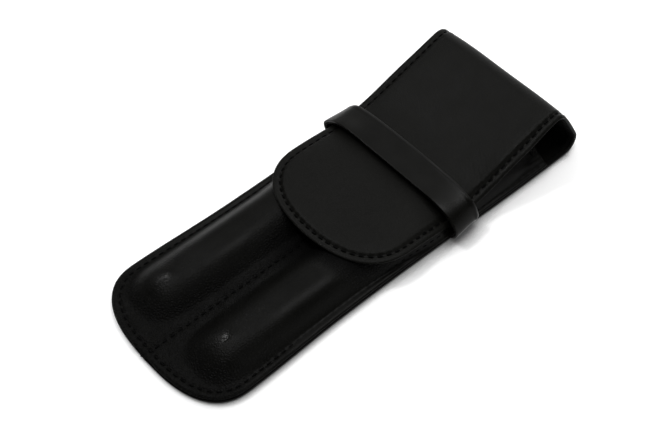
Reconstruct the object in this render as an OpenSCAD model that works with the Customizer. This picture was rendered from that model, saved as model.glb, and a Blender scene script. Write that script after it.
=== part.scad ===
// Leather pouch for two pens: a long back panel that rolls over into a front flap,
// a moulded front panel with two channels, and a strap that holds the flap down.
// Millimetres. X across the case, Y from the bottom end to the fold, Z up off the back.

/* [Case] */
// Length of the closed case, bottom end to fold
case_length = 177; // [150:1:210]
// Width of the body at its waist
waist_width = 62.8; // [54:0.2:90]
// Widening of each side at the bottom end
bottom_flare = 0.9; // [0:0.1:3]
// Widening of each side at the fold
fold_flare = 2.0; // [0:0.1:4]
// Length of the rounded bottom end
end_height = 20; // [12:0.5:30]

/* [Leather] */
// Thickness of the back leather
back_skin = 1.0; // [0.8:0.1:1.6]
// Thickness of the back, fold and flap lining
lining_skin = 0.5; // [0.4:0.1:0.9]
// Thickness of the moulded front leather
front_skin = 0.9; // [0.7:0.1:1.4]
// Thickness of the front lining
front_lining_skin = 0.3; // [0.3:0.1:0.6]

/* [Channels] */
// Distance of each channel from the centre seam
channel_offset = 16.0; // [14:0.1:24]
// Half width of a channel where it leaves the flange
channel_half = 10.6; // [7:0.1:13]
// Height of the channel crown above the table
channel_top = 8.8; // [7.5:0.1:16]
// Distance of the channel's round end from the bottom end
channel_start = 8.5; // [7:0.5:20]
// Distance of the pocket mouth from the fold
mouth_gap = 16.5; // [12:0.5:30]

/* [Fold and flap] */
// Height of the fold's crest above the table
fold_height = 23.1; // [18:0.1:34]
// Outer radius of the fold where it leaves the table
fold_low_radius = 5.5; // [4:0.1:8]
// Outer radius of the fold at its crest
fold_top_radius = 6; // [4.5:0.1:9]
// Slope of the flap as it comes down from the fold
flap_slope = 18; // [10:1:30]
// Half width of the flap
flap_half = 31; // [25:0.1:44]
// Distance of the flap tip from the fold
flap_reach = 108.2; // [85:0.2:130]
// Length of the flap's rounded tip
tip_height = 23.5; // [14:0.5:40]

/* [Strap] */
// Distance of the strap's near edge from the fold
strap_reach = 66.7; // [60:0.1:90]
// Width of the strap
strap_width = 12.2; // [8:0.1:20]
// Thickness of each ply of the strap
strap_ply = 0.8; // [0.6:0.1:1.2]

/* [Stitching] */
// Distance of the stitching from the edge
stitch_margin = 2.8; // [2:0.1:4]
// Spacing of the stitches
stitch_pitch = 3.2; // [2.4:0.1:5]
// Length of one stitch
stitch_length = 2.2; // [1.4:0.1:3]

/* [Hidden] */
$fn = 72;
thread_width = 0.6;
thread_rise = 0.25;
groove_width = 1.0;
groove_depth = 0.3;
seat_gap = 0.2;
fit_gap = 0.1;
shell_gap = 0.05;
strap_ease = 0.15;
end_power = 2.6;
tip_power = 2.35;
bend_radius = 30;
hinge_step = 49;
hinge_first = 24;
lean_angle = 118;
back_top = back_skin + lining_skin;
flange_low = back_top + front_lining_skin;
flange_top = flange_low + front_skin;
fold_skin = back_skin + lining_skin;
mouth_y = case_length - mouth_gap;
rise = channel_top - flange_top;
channel_radius = (channel_half * channel_half + rise * rise) / (2 * rise);
channel_axis = channel_top - channel_radius;
channel_centre = channel_start + channel_half;
flap_low = channel_top + seat_gap;
flap_top = flap_low + fold_skin;
low_centre = [case_length - fold_low_radius, fold_low_radius];
stitch_turn = hinge_first + 1.45 * hinge_step;
back_reach = low_centre[0] + (fold_low_radius + thread_rise) * sin(stitch_turn)
    + stitch_length / 2 * abs(cos(stitch_turn));
origin_y = -back_reach / 2;
lean = [cos(lean_angle), sin(lean_angle)];
lean_run = (fold_height - fold_low_radius - fold_top_radius
    + (fold_low_radius - fold_top_radius) * cos(lean_angle)) / sin(lean_angle);
top_centre = low_centre + lean_run * lean
    + (fold_low_radius - fold_top_radius) * [lean[1], -lean[0]];
slope_end = 180 + flap_slope;
hinge_last = hinge_first + 3 * hinge_step;
flap_tip = case_length - flap_reach;
strap_start = case_length - strap_reach;
strap_end = strap_start + strap_width;
strap_tab_low = back_skin;
strap_tab_top = strap_tab_low + strap_ply;
strap_inside = max(side_half(strap_start + strap_width / 2) + 0.45, flap_half + 2);
strap_low_face = flap_top + thread_rise + strap_ease;
tab_reach = 26;

// ---- outline of the body --------------------------------------------------

// Smooth step from 0 to 1.
function ease(t) = t <= 0 ? 0 : t >= 1 ? 1 : t * t * (3 - 2 * t);

// Half width of the body at a distance y from the bottom end, above the round end.
function side_half(y) = waist_width / 2
    + bottom_flare * (1 - ease((y - end_height) / (0.23 * case_length)))
    + fold_flare * ease((y - 0.37 * case_length) / (0.56 * case_length));

// Right half of the body's edge, set in by a margin: superellipse end, then side.
function right_edge(inset, stop) = concat(
    [for (t = [90:-5:0])
        [(waist_width / 2 + bottom_flare - inset) * pow(cos(t), 2 / end_power),
         inset + (end_height - inset) * (1 - pow(sin(t), 2 / end_power))]],
    [for (y = [end_height + 6:6:stop - 3]) [side_half(y) - inset, y]],
    [[side_half(stop) - inset, stop]]);

function mirrored(points) = [for (i = [len(points) - 1:-1:1])
    [-points[i][0], points[i][1]]];

function whole_edge(inset, stop) =
    concat(mirrored(right_edge(inset, stop)), right_edge(inset, stop));

// Right half of the flap's edge, set in by a margin: superellipse tip, then side.
function right_flap(inset, stop) = concat(
    [for (t = [90:-5:0])
        [(flap_half - inset) * pow(cos(t), 2 / tip_power),
         flap_tip + inset + (tip_height - inset) * (1 - pow(sin(t), 2 / tip_power))]],
    [[flap_half - inset, stop]]);

function whole_flap(inset, stop) =
    concat(mirrored(right_flap(inset, stop)), right_flap(inset, stop));

module plate(points, low, high) {
    translate([0, origin_y, low])
        linear_extrude(high - low)
            polygon(points);
}

// ---- side view of the fold and flap ---------------------------------------

function on_low(angle, depth) = low_centre
    + (fold_low_radius - depth) * [sin(angle), -cos(angle)];
function on_top(angle, depth) = top_centre
    + (fold_top_radius - depth) * [sin(angle), -cos(angle)];

// Where the slope meets the bend, and the bend meets the flat.
slope_start = on_top(slope_end, 0);
bend_high = flap_top + bend_radius * (1 - cos(flap_slope));
bend_y = slope_start[0] - (slope_start[1] - bend_high) / tan(flap_slope);
bend_centre = [bend_y - bend_radius * sin(flap_slope), flap_top + bend_radius];

function on_bend(angle, depth) = bend_centre
    + (bend_radius + depth) * [sin(angle), -cos(angle)];

// Points of one stretch of the fold at a depth below its outer face.
function low_run(a, b, depth) = [for (i = [0:6]) on_low(a + (b - a) * i / 6, depth)];
function top_run(a, b, depth) = [for (i = [0:6]) on_top(a + (b - a) * i / 6, depth)];
function middle_run(depth) = concat(
    low_run(hinge_first + hinge_step, lean_angle, depth),
    [on_top(lean_angle, depth)],
    [on_top(hinge_first + 2 * hinge_step, depth)]);
function flap_run(depth) = concat(
    top_run(hinge_last, slope_end, depth),
    [for (i = [0:4]) on_bend(flap_slope * (1 - i / 4), depth)],
    [[flap_tip - 2, flap_top - depth]]);

function reversed(points) = [for (i = [len(points) - 1:-1:0]) points[i]];

// A band of the side view, pushed out across the case.
module across(outer, inner, half) {
    translate([-half, origin_y, 0])
        rotate([90, 0, 90])
            linear_extrude(2 * half)
                polygon(concat(outer, reversed(inner)));
}

// The fold narrows evenly from the body's width to the flap's width.
function fold_half(z) = side_half(low_centre[0])
    + (flap_half - side_half(low_centre[0])) * min(1, z / fold_height);

module fold_taper() {
    translate([0, origin_y + case_length + 5, 0])
        rotate([90, 0, 0])
            linear_extrude(40)
                polygon([[-fold_half(0), -1], [fold_half(0), -1], [fold_half(0), 0],
                    [flap_half, fold_height], [flap_half, fold_height + 1],
                    [-flap_half, fold_height + 1], [-flap_half, fold_height],
                    [-fold_half(0), 0]]);
}

module fold_piece(outer, inner) {
    intersection() {
        across(outer, inner, fold_half(0) + 1);
        fold_taper();
    }
}

// ---- stitches --------------------------------------------------------------

module stitch() {
    translate([-stitch_length / 2, -thread_width / 2, 0])
        cube([stitch_length, thread_width, thread_rise]);
}

// Running length at each point of a path.
function run_length(p) = [for (i = 0, s = 0; i < len(p);
    s = s + (i + 1 < len(p) ? norm(p[i + 1] - p[i]) : 0), i = i + 1) s];

// Stitches spaced evenly along a flat path at one height.
module stitch_row(path, height) {
    run = run_length(path);
    total = run[len(path) - 1];
    count = floor(total / stitch_pitch);
    xs = [for (i = [0:len(path) - 1]) [run[i], path[i][0]]];
    ys = [for (i = [0:len(path) - 1]) [run[i], path[i][1]]];
    for (k = [0:count - 1]) {
        s = (k + 0.5) * total / count;
        dx = lookup(s + 0.4, xs) - lookup(s - 0.4, xs);
        dy = lookup(s + 0.4, ys) - lookup(s - 0.4, ys);
        translate([lookup(s, xs), origin_y + lookup(s, ys), height])
            rotate([0, 0, atan2(dy, dx)])
                stitch();
    }
}

// One stitch lying along the fold's outer face at a turning angle.
module fold_stitch(point, angle) {
    for (side = [-1, 1])
        translate([side * (fold_half(point[1]) - stitch_margin),
            origin_y + point[0], point[1]])
            rotate([angle, 0, 0])
                rotate([180, 0, 90])
                    stitch();
}

// ---- body: back -------------------------------------------------------------

module back_outline(inset) {
    polygon(whole_edge(inset, low_centre[0]));
}

module seam_groove(low, high) {
    translate([0, origin_y, low])
        linear_extrude(high - low) {
            difference() {
                polygon(whole_edge(stitch_margin - groove_width / 2, low_centre[0]));
                polygon(whole_edge(stitch_margin + groove_width / 2, low_centre[0] + 1));
            }
            translate([-groove_width / 2, stitch_margin])
                square([groove_width, mouth_y - stitch_margin]);
        }
}

// Outer leather of the back, with the start of the fold.
module back_leather() {
    color([0.05, 0.05, 0.048])
        union() {
            difference() {
                plate(whole_edge(0, low_centre[0]), 0, back_skin);
                seam_groove(-1, groove_depth);
            }
            across(low_run(0, hinge_first, 0), low_run(0, hinge_first, back_skin),
                fold_half(0));
        }
}

module tab_notch() {
    for (side = [-1, 1])
        translate([side * (tab_reach + 10 - fit_gap) - 10,
            origin_y + strap_start - fit_gap, strap_tab_low - 0.01])
            cube([20, strap_width + 2 * fit_gap, strap_ply + 0.01]);
}

// Lining glued inside the back, notched for the strap's tabs.
module back_lining() {
    color([0.07, 0.066, 0.06])
        union() {
            difference() {
                plate(whole_edge(0, low_centre[0]), back_skin, back_top);
                tab_notch();
            }
            across(low_run(0, hinge_first, back_skin),
                low_run(0, hinge_first, fold_skin), fold_half(0));
        }
}

// ---- body: front --------------------------------------------------------------

// A channel: a round bar with a ball end, cut off flat below a height.
module channel(radius, low) {
    intersection() {
        union() {
            translate([0, channel_centre, channel_axis])
                rotate([-90, 0, 0])
                    cylinder(r = radius, h = mouth_y - channel_centre + 0.5);
            translate([0, channel_centre, channel_axis])
                sphere(r = radius);
        }
        translate([-20, 0, low])
            cube([40, mouth_y + 0.5, 30]);
    }
}

module channels(radius, low, trim) {
    for (side = [-1, 1])
        intersection() {
            translate([side * channel_offset, origin_y, 0])
                channel(radius, low);
            translate([-60, origin_y, 0])
                cube([120, mouth_y + trim, 40]);
        }
}

// Front leather: flat flange and valley with two moulded channels.
module front_leather() {
    color([0.05, 0.05, 0.048])
        difference() {
            union() {
                plate(whole_edge(0, mouth_y), flange_low, flange_top);
                channels(channel_radius, flange_low, 0);
            }
            channels(channel_radius - front_skin, 0, 0.5);
        }
}

// Thin lining inside the front, notched for the strap's tabs.
module front_lining() {
    outer = channel_radius - front_skin - shell_gap;
    color([0.07, 0.066, 0.06])
        difference() {
            union() {
                plate(whole_edge(0, mouth_y), back_top, flange_low);
                channels(outer, back_top, 0);
            }
            channels(outer - front_lining_skin + shell_gap, 0, 0.5);
            tab_notch();
        }
}

// Seam round the edge, seen on the flange and in the groove of the back.
module edge_seam_thread() {
    edge = whole_edge(stitch_margin, mouth_y - 1.5);
    color([0.02, 0.02, 0.02]) {
        stitch_row(edge, flange_top);
        stitch_row(edge, groove_depth - thread_rise);
        for (side = [-1, 1])
            for (height = [back_top, groove_depth - thread_rise])
                stitch_row([for (i = [0:2]) let (y = mouth_y + 1 + 4.8 * i)
                    [side * (side_half(y) - stitch_margin), y]], height);
    }
}

// Seam down the valley between the channels.
module centre_seam_thread() {
    line = [[0, stitch_margin + 1.2], [0, mouth_y - 1.5]];
    color([0.02, 0.02, 0.02]) {
        stitch_row(line, flange_top);
        stitch_row(line, groove_depth - thread_rise);
    }
}

// Seam across the front at the pocket mouth, over flange, channels and valley.
module mouth_seam_thread() {
    row_y = origin_y + mouth_y - 3;
    foot = channel_offset + channel_half;
    valley_step = stitch_length + 0.2;
    valley_count = floor((channel_offset - channel_half - 0.6) / valley_step);
    turn = stitch_pitch / channel_radius * 180 / PI;
    turns = floor((asin(channel_half / channel_radius) - 10) / turn);
    color([0.02, 0.02, 0.02]) {
        for (side = [-1, 1]) {
            translate([side * (foot + side_half(mouth_y) - stitch_margin) / 2, row_y,
                flange_top])
                stitch();
            for (k = [0:1:valley_count - 1])
                translate([side * (0.6 + (k + 0.5) * valley_step), row_y, flange_top])
                    stitch();
            for (k = [-turns:turns])
                translate([side * channel_offset + channel_radius * sin(k * turn), row_y,
                    channel_axis + channel_radius * cos(k * turn)])
                    rotate([0, k * turn, 0])
                        stitch();
        }
    }
}

// ---- strap -----------------------------------------------------------------------

// Outline of a loop with soft upper corners and tight lower corners.
module loop_outline(half, low, high, upper, lower) {
    union() {
        for (side = [-1, 1]) {
            translate([side * (half - upper), high - upper])
                circle(r = upper);
            translate([side * (half - lower), low + lower])
                circle(r = lower);
        }
        translate([-half + upper, low])
            square([2 * (half - upper), high - low]);
        translate([-half, low + lower])
            square([2 * half, high - low - lower - upper]);
        translate([-half + lower, low])
            square([2 * (half - lower), lower + 1]);
    }
}

module strap_ring(grow, ply, gap_half) {
    translate([0, origin_y + strap_end, 0])
        rotate([90, 0, 0])
            linear_extrude(strap_width)
                difference() {
                    loop_outline(strap_inside + grow + ply, strap_tab_top - grow - ply,
                        strap_low_face + grow + ply, 2.5 + grow + ply, 0.4 + grow + ply);
                    loop_outline(strap_inside + grow, strap_tab_top - grow,
                        strap_low_face + grow, 2.5 + grow, 0.4 + grow);
                    translate([-gap_half, -5])
                        square([2 * gap_half, 10]);
                }
}

// Inner ply of the strap: its ends are tabs sewn into the side seams.
module strap_lining() {
    color([0.07, 0.066, 0.06])
        strap_ring(0, strap_ply, tab_reach);
}

// Outer ply of the strap, its edges turned over the inner ply.
module strap_leather() {
    color([0.05, 0.05, 0.048])
        strap_ring(strap_ply, strap_ply, strap_inside - 0.1);
}

// ---- fold ----------------------------------------------------------------------------

module fold_leather_lower() {
    a = hinge_first;
    b = hinge_first + hinge_step;
    color([0.05, 0.05, 0.048])
        fold_piece(low_run(a, b, 0), low_run(a, b, back_skin));
}

module fold_lining_lower() {
    a = hinge_first;
    b = hinge_first + hinge_step;
    color([0.07, 0.066, 0.06])
        fold_piece(low_run(a, b, back_skin), low_run(a, b, fold_skin));
}

module fold_thread_lower() {
    a = hinge_first + hinge_step / 2;
    color([0.02, 0.02, 0.02])
        fold_stitch(on_low(a, 0), a);
}

module fold_leather_middle() {
    color([0.05, 0.05, 0.048])
        fold_piece(middle_run(0), middle_run(back_skin));
}

module fold_lining_middle() {
    color([0.07, 0.066, 0.06])
        fold_piece(middle_run(back_skin), middle_run(fold_skin));
}

module fold_thread_middle() {
    count = floor((lean_run - 1) / stitch_pitch);
    color([0.02, 0.02, 0.02]) {
        fold_stitch(on_low(stitch_turn, 0), stitch_turn);
        for (k = [0:count - 1])
            fold_stitch(on_low(lean_angle, 0)
                + (k + 0.5) * lean_run / count * lean, lean_angle);
    }
}

module fold_leather_upper() {
    a = hinge_first + 2 * hinge_step;
    color([0.05, 0.05, 0.048])
        fold_piece(top_run(a, hinge_last, 0), top_run(a, hinge_last, back_skin));
}

module fold_lining_upper() {
    a = hinge_first + 2 * hinge_step;
    color([0.07, 0.066, 0.06])
        fold_piece(top_run(a, hinge_last, back_skin), top_run(a, hinge_last, fold_skin));
}

module fold_thread_upper() {
    a = hinge_last - hinge_step / 2;
    color([0.02, 0.02, 0.02])
        fold_stitch(on_top(a, 0), a);
}

// ---- flap ----------------------------------------------------------------------------

module flap_band(shallow, deep, inset) {
    intersection() {
        across(flap_run(shallow), flap_run(deep), flap_half + 1);
        plate(whole_flap(inset, case_length), -1, fold_height + 5);
    }
}

// Outer leather of the flap, from the crest of the fold to the round tip.
module flap_leather() {
    color([0.05, 0.05, 0.048])
        flap_band(0, back_skin, 0);
}

// Lining of the flap, grooved for the underside of its seam.
module flap_lining() {
    color([0.07, 0.066, 0.06])
        difference() {
            flap_band(back_skin, fold_skin, 0);
            intersection() {
                across(flap_run(fold_skin - groove_depth), flap_run(fold_skin + 1),
                    flap_half + 1);
                translate([0, origin_y, -1])
                    linear_extrude(fold_height + 5)
                        difference() {
                            polygon(whole_flap(stitch_margin - groove_width / 2,
                                bend_centre[0]));
                            polygon(whole_flap(stitch_margin + groove_width / 2,
                                bend_centre[0] + 1));
                        }
            }
        }
}

// Seam round the flap: flat round the tip, then up the slope on both sides.
module flap_seam_thread() {
    edge = whole_flap(stitch_margin, bend_centre[0] - 0.5);
    bend_angle = flap_slope / 2;
    slope_length = norm(slope_start - on_bend(flap_slope, 0));
    count = floor(slope_length / stitch_pitch);
    color([0.02, 0.02, 0.02]) {
        stitch_row(edge, flap_top);
        stitch_row(edge, flap_low + groove_depth - thread_rise);
        for (side = [-1, 1]) {
            for (angle = [flap_slope * 0.3, flap_slope * 0.7])
                translate([side * (flap_half - stitch_margin),
                    origin_y + on_bend(angle, -shell_gap)[0],
                    on_bend(angle, -shell_gap)[1]])
                    rotate([angle, 0, 0])
                        rotate([0, 0, 90])
                            stitch();
            for (k = [0:count - 1]) {
                point = on_bend(flap_slope, 0)
                    + (k + 0.5) / count * (slope_start - on_bend(flap_slope, 0));
                translate([side * (flap_half - stitch_margin), origin_y + point[0],
                    point[1]])
                    rotate([flap_slope, 0, 0])
                        rotate([0, 0, 90])
                            stitch();
            }
        }
    }
}

// ---- nodes ---------------------------------------------------------------------------

back_leather();
back_lining();
front_leather();
front_lining();
edge_seam_thread();
centre_seam_thread();
mouth_seam_thread();
strap_leather();
strap_lining();
fold_leather_lower();
fold_lining_lower();
fold_thread_lower();
fold_leather_middle();
fold_lining_middle();
fold_thread_middle();
fold_leather_upper();
fold_lining_upper();
fold_thread_upper();
flap_leather();
flap_lining();
flap_seam_thread();
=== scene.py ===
"""A black leather case for two fountain pens, closed, lying on its back.

Lengths are written in millimetres, with y counted from the round bottom end, and are
turned into metres in the frame of the solids when a mesh is made.
"""

import math

import bpy
import numpy as np
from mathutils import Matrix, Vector


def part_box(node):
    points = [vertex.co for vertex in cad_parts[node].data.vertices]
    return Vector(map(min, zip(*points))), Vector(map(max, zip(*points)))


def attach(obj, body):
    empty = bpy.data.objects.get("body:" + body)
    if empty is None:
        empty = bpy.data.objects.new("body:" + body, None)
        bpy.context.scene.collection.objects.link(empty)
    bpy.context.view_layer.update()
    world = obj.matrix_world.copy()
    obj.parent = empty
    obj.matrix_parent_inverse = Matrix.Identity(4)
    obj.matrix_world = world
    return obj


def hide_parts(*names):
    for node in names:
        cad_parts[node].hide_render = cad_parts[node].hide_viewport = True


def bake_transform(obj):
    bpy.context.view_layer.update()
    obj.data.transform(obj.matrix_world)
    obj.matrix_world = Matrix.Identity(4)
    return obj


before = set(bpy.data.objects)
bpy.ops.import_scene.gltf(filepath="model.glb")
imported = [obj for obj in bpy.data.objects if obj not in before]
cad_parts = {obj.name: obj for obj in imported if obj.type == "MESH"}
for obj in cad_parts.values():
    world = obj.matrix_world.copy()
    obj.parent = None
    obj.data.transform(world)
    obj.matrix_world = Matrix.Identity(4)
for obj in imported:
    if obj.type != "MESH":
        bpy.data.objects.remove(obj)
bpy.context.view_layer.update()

MM = 0.001
BOTTOM_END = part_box("back_leather")[0][1]

# ---- sizes of the case, as in the solids ------------------------------------

LENGTH = 177.0
WAIST_HALF = 31.4
BOTTOM_FLARE = 0.9
FOLD_FLARE = 2.0
END_HEIGHT = 20.0
END_POWER = 2.6

BACK_SKIN = 1.0
LINING_SKIN = 0.5
FRONT_SKIN = 0.9
FRONT_LINING = 0.3
FOLD_SKIN = BACK_SKIN + LINING_SKIN
FLANGE_LOW = FOLD_SKIN + FRONT_LINING
FLANGE_TOP = FLANGE_LOW + FRONT_SKIN

CHANNEL_X = 16.0
CHANNEL_TOP = 8.8
MOUTH_Y = LENGTH - 16.5
RISE = CHANNEL_TOP - FLANGE_TOP
CHANNEL_OUT = 12.9
CHANNEL_IN = 12.8
NOSE_END = 26.0
NOSE_LENGTH = 18.0
NOSE_SPOT_Y = 23.0

FOLD_HEIGHT = 23.1
LOW_R = 5.5
TOP_R = 6.0
FLAP_SLOPE = math.radians(18)
LEAN = math.radians(118)
FLAP_TOP = CHANNEL_TOP + 0.2 + FOLD_SKIN
FLAP_HALF = 31.0
FLAP_TIP = LENGTH - 108.2
TIP_HEIGHT = 23.5
TIP_POWER = 2.35
BEND_R = 80.0
HINGE_FIRST = math.radians(24)
HINGE_STEP = math.radians(49)

STRAP_START = LENGTH - 66.7
STRAP_WIDTH = 12.2
STRAP_PLY = 0.8

STITCH_MARGIN = 2.8
STITCH_PITCH = 3.2
STITCH_LENGTH = 2.3
STITCH_WIDTH = 0.62
MOUTH_INSET = 1.5

# ---- steps of the grids -----------------------------------------------------------

EDGE_STEPS = 6
ROUND_STEPS = 4
FRONT_COLUMNS = 151
FLAT_COLUMNS = 91
COVER_COLUMNS = 161
STITCH_ALONG, STITCH_ROUND = 9, 8
EDGE_INSET = 0.35
EDGE_LIP = 0.35


def ease(t):
    """Smooth step: 3t^2 - 2t^3 of t held between 0 and 1."""
    t = np.clip(t, 0.0, 1.0)
    return t * t * (3 - 2 * t)


def bell(t):
    """Gaussian bump of height 1 and unit half width."""
    return np.exp(-t * t)


def side_half(y):
    """Half width of the body at y: the waist, plus a smooth flare towards each end."""
    return (
        WAIST_HALF
        + BOTTOM_FLARE * (1 - ease((y - END_HEIGHT) / (0.23 * LENGTH)))
        + FOLD_FLARE * ease((y - 0.37 * LENGTH) / (0.56 * LENGTH))
    )


def ripple(x, y, size, seed):
    """Slow unevenness, mostly within -1 to 1: eight sine waves in fixed random directions."""
    rng = np.random.default_rng(seed)
    total = 0
    for angle, phase, scale in zip(
        rng.uniform(0, 2 * math.pi, 8), rng.uniform(0, 2 * math.pi, 8), rng.uniform(0.6, 1.7, 8)
    ):
        run = (x * math.cos(angle) + y * math.sin(angle)) * 2 * math.pi / (size * scale)
        total = total + np.sin(run + phase)
    return total / 5.0


# ---- meshes -------------------------------------------------------------------


def in_frame(points):
    """Millimetres from the bottom end to metres in the frame of the solids."""
    out = np.asarray(points, dtype=float) * MM
    out[..., 1] += BOTTOM_END
    return out


def quads(rows, columns):
    """Corner numbers of the quads of a grid whose columns are joined round."""
    i, j = np.meshgrid(np.arange(rows - 1), np.arange(columns), indexing="ij")
    k = (j + 1) % columns
    corners = [i * columns + j, i * columns + k, (i + 1) * columns + k, (i + 1) * columns + j]
    return np.stack(corners, -1)


def ply_quads(grid, round_ends=0):
    """Corner numbers for ply(): both faces and both edges, and its rounded ends' rows."""
    return quads(len(grid) + ROUND_STEPS * round_ends, 2 * grid.shape[1] + 2 * EDGE_STEPS)


def new_mesh(name, points, faces, material, body, node, fields=None):
    """One smooth-shaded object from a point array in millimetres and a face array."""
    mesh = bpy.data.meshes.new(name)
    mesh.from_pydata(in_frame(points.reshape(-1, 3)).tolist(), [], faces.reshape(-1, 4).tolist())
    mesh.validate()
    mesh.polygons.foreach_set("use_smooth", np.ones(len(mesh.polygons), dtype=bool))
    for field, values in (fields or {}).items():
        layer = mesh.attributes.new(field, "FLOAT", "POINT")
        layer.data.foreach_set("value", np.asarray(values, dtype=np.float32).ravel())
    mesh.update()
    obj = bpy.data.objects.new(name, mesh)
    bpy.context.collection.objects.link(obj)
    obj.data.materials.append(material)
    if isinstance(body, str):
        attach(obj, body)
    else:
        first, second, start, stop = body
        tuple(in_frame(start))
        tuple(in_frame(stop))
        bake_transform(obj)
    if node:
        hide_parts(*([node] if isinstance(node, str) else node))
    return obj


def unit(vectors):
    """Vectors of length 1 along the last axis; one of no length stays as it is."""
    return vectors / np.maximum(np.linalg.norm(vectors, axis=-1, keepdims=True), 1e-12)


def normals(grid):
    """Unit normals of a grid of points: cross product of its two central differences."""
    along = np.gradient(grid, axis=0)
    across = np.gradient(grid, axis=1)
    n = np.cross(across, along)
    return unit(n)


def ply(outer, face, thickness, lip=EDGE_LIP, start="point", stop="point", square=0.55):
    """A ply of leather with softened cut edges, as a grid closed round its section.

    outer is the grid of its outer face and face that grid's unit normals. Each row goes
    across the outer face, round an edge, back across the inner face (the outer face less
    the thickness along the normal) and round the other edge. An edge is half a
    superellipse: middle + cos^q * half thickness along the normal + sin^q * lip outwards.
    A "round" end draws the last loop in to its middle line by the same curve, a "point"
    end has come to nothing by itself, and an "open" end meets the next ply.
    """
    thick = np.broadcast_to(np.asarray(thickness, dtype=float), outer.shape[:2])[..., None]
    inner = outer - face * thick
    middle = (outer + inner) / 2
    turn = np.linspace(0, math.pi, EDGE_STEPS + 2)[1:-1]
    up = np.sign(np.cos(turn)) * np.abs(np.cos(turn)) ** square
    out = np.sin(turn) ** square

    def edge(column, sign):
        run = np.gradient(outer[:, column], axis=0)
        away = unit(np.cross(run, face[:, column]) * sign)
        half = thick[:, column] / 2
        return (
            middle[:, column, None]
            + up[None, :, None] * (face[:, column] * half)[:, None]
            + out[None, :, None] * (away * lip)[:, None]
        )

    loop = np.concatenate([outer, edge(-1, 1.0), inner[:, ::-1], edge(0, -1.0)[:, ::-1]], axis=1)
    core = round_section(middle)
    turn = np.linspace(0, math.pi / 2, ROUND_STEPS + 1)[1:]

    def end(last, before, angles):
        away = core[last] - core[before]
        away /= np.linalg.norm(away, axis=-1, keepdims=True)
        back, tip = loop[last] - core[last], core[last]
        return np.stack([tip + math.cos(t) * back + math.sin(t) * lip * away for t in angles])

    rows = [loop]
    if start == "round":
        rows.insert(0, end(0, 1, turn[::-1]))
    if stop == "round":
        rows.append(end(-1, -2, turn))
    return np.concatenate(rows, axis=0)


def round_section(values):
    """Carries the values of a face's columns round the edges and back over the other face."""
    ends = [np.repeat(values[:, k], EDGE_STEPS, axis=1) for k in (slice(-1, None), slice(0, 1))]
    return np.concatenate([values, ends[0], values[:, ::-1], ends[1]], axis=1)


def spread(values, start="point", stop="point"):
    """Carries a value on the outer face's grid to all the points that ply() makes."""
    row = round_section(values)
    if start == "round":
        row = np.concatenate([np.repeat(row[:1], ROUND_STEPS, axis=0), row])
    if stop == "round":
        row = np.concatenate([row, np.repeat(row[-1:], ROUND_STEPS, axis=0)])
    return row


# ---- outlines -------------------------------------------------------------------


def end_rows(half, start, height, power, inset, count=70):
    """Rows of a superellipse end: half width and y of each, from the tip to the side."""
    t = (math.pi / 2) * (1 - np.linspace(0, 1, count) ** 0.8)
    wide = (half - inset) * np.cos(t) ** (2 / power)
    y = start + inset + (height - inset) * (1 - np.sin(t) ** (2 / power))
    wide[0] = 0.0
    return wide, y


def body_rows(inset, stop, pitch=0.6):
    """Half width and y of each row of the body, from the bottom end up to stop."""
    wide, y = end_rows(WAIST_HALF + BOTTOM_FLARE, 0.0, END_HEIGHT, END_POWER, inset)
    above = np.arange(END_HEIGHT + pitch, stop - pitch / 2, pitch)
    above = np.append(above, stop)
    return np.concatenate([wide, side_half(above) - inset]), np.concatenate([y, above])


def margin_in(x, y, half, start, height, power):
    """How far a point lies inside the outline: the inset whose outline passes through it.

    Found by halving between -2 and 16 mm. An outline set in by c is the superellipse
    (|x|/(half-c))^p + ((start+height-y)/(height-c))^p = 1 below start+height, and the
    straight side above it.
    """
    side = half - np.abs(x)
    low, high = np.full(np.shape(x), -2.0), np.full(np.shape(x), 16.0)
    rest = np.maximum(start + height - y, 0)
    for _ in range(26):
        c = (low + high) / 2
        outside = (np.abs(x) / (half - c)) ** power + (rest / (height - c)) ** power > 1
        high = np.where(outside, c, high)
        low = np.where(outside, low, c)
    return np.where(y < start + height, (low + high) / 2, side)


def body_margin(x, y):
    """Distance of a point inside the body's outline."""
    half = np.where(y < END_HEIGHT, WAIST_HALF + BOTTOM_FLARE, side_half(y))
    return margin_in(x, y, half, 0.0, END_HEIGHT, END_POWER)


def flap_margin(x, y):
    """Distance of a point inside the flap's outline."""
    return margin_in(x, y, np.full(np.shape(x), FLAP_HALF), FLAP_TIP, TIP_HEIGHT, TIP_POWER)


def even_points(path, pitch):
    """Points and unit directions at even spacing along a path, half a space in from its ends."""
    step = np.linalg.norm(np.diff(path, axis=0), axis=1)
    run = np.concatenate([[0], np.cumsum(step)])
    count = int(run[-1] // pitch)
    s = (np.arange(count) + 0.5) * run[-1] / count

    def at(where):
        return np.stack([np.interp(where, run, path[:, k]) for k in range(path.shape[1])], -1)

    along = at(s + 0.3) - at(s - 0.3)
    return at(s), along / np.linalg.norm(along, axis=1, keepdims=True)


def both_sides(wide, y):
    """Path up the left side, round the tip and up the right side, from rows of one side."""
    right = np.stack([wide, y], -1)
    left = right[::-1] * [-1, 1]
    return np.concatenate([left[:-1], right])


def seam_margin(y):
    """The seam's distance from the body's edge, less beside the full part of the pockets."""
    return STITCH_MARGIN - 1.1 * ease((y - 80.0) / 28.0)


def tucked(x, y):
    """Share from 0 to 1 by which the right-hand seam is pulled under, beyond the nose."""
    return ease((x - 8.0) / 8.0) * ease((y - 34.0) / 10.0)


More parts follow.
